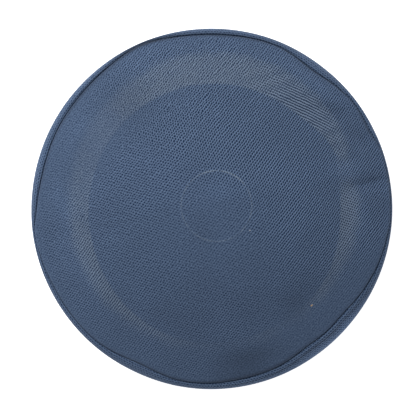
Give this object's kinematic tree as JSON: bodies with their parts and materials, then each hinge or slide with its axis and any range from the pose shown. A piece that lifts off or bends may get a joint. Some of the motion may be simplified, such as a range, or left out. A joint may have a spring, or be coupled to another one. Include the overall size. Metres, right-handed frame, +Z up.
{
  "type": "kufi",
  "caption": "Round brimless cap of stiffened cloth with a gently domed top set into an upright band, open underneath for a head.",
  "frame": {"origin": "centre of the open rim, on the surface that the cap stands on", "axes": "+Z up through the crown, +X along the crease where the cap was folded flat, to within 9 degrees"},
  "size_m": [0.19, 0.19, 0.094],
  "materials": {
    "crown_cloth": "dark blue woven cloth with a fine raised diagonal texture, matt, with a pressed ring that has a slight shine",
    "band_cloth": "dark blue woven cloth with a fine raised texture, matt"
  },
  "bodies": {
    "root": {"crown_top": "crown_cloth", "side_band": "band_cloth"}
  },
  "joints": []
}
